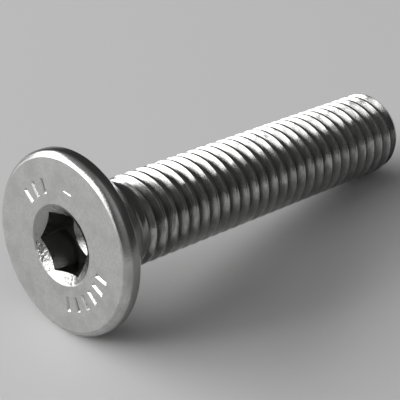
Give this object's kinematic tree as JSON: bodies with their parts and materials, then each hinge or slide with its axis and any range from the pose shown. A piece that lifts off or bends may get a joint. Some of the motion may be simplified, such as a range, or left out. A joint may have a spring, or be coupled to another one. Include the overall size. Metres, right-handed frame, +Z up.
{
  "type": "countersunk socket screw",
  "caption": "Countersunk machine screw with a flat head, a hexagon socket, a conical underside and a full-length right-hand thread, for fastening flush with a surface.",
  "frame": {"origin": "on the surface that the lying screw rests on, under the middle of its bounding box", "axes": "+X over the screw's axis from head to tip, with the tip about six degrees lower, +Z up, +Y across"},
  "size_m": [0.041, 0.0158, 0.0158],
  "materials": {
    "steel": "satin"
  },
  "bodies": {
    "root": {"screw": "steel"}
  },
  "joints": []
}
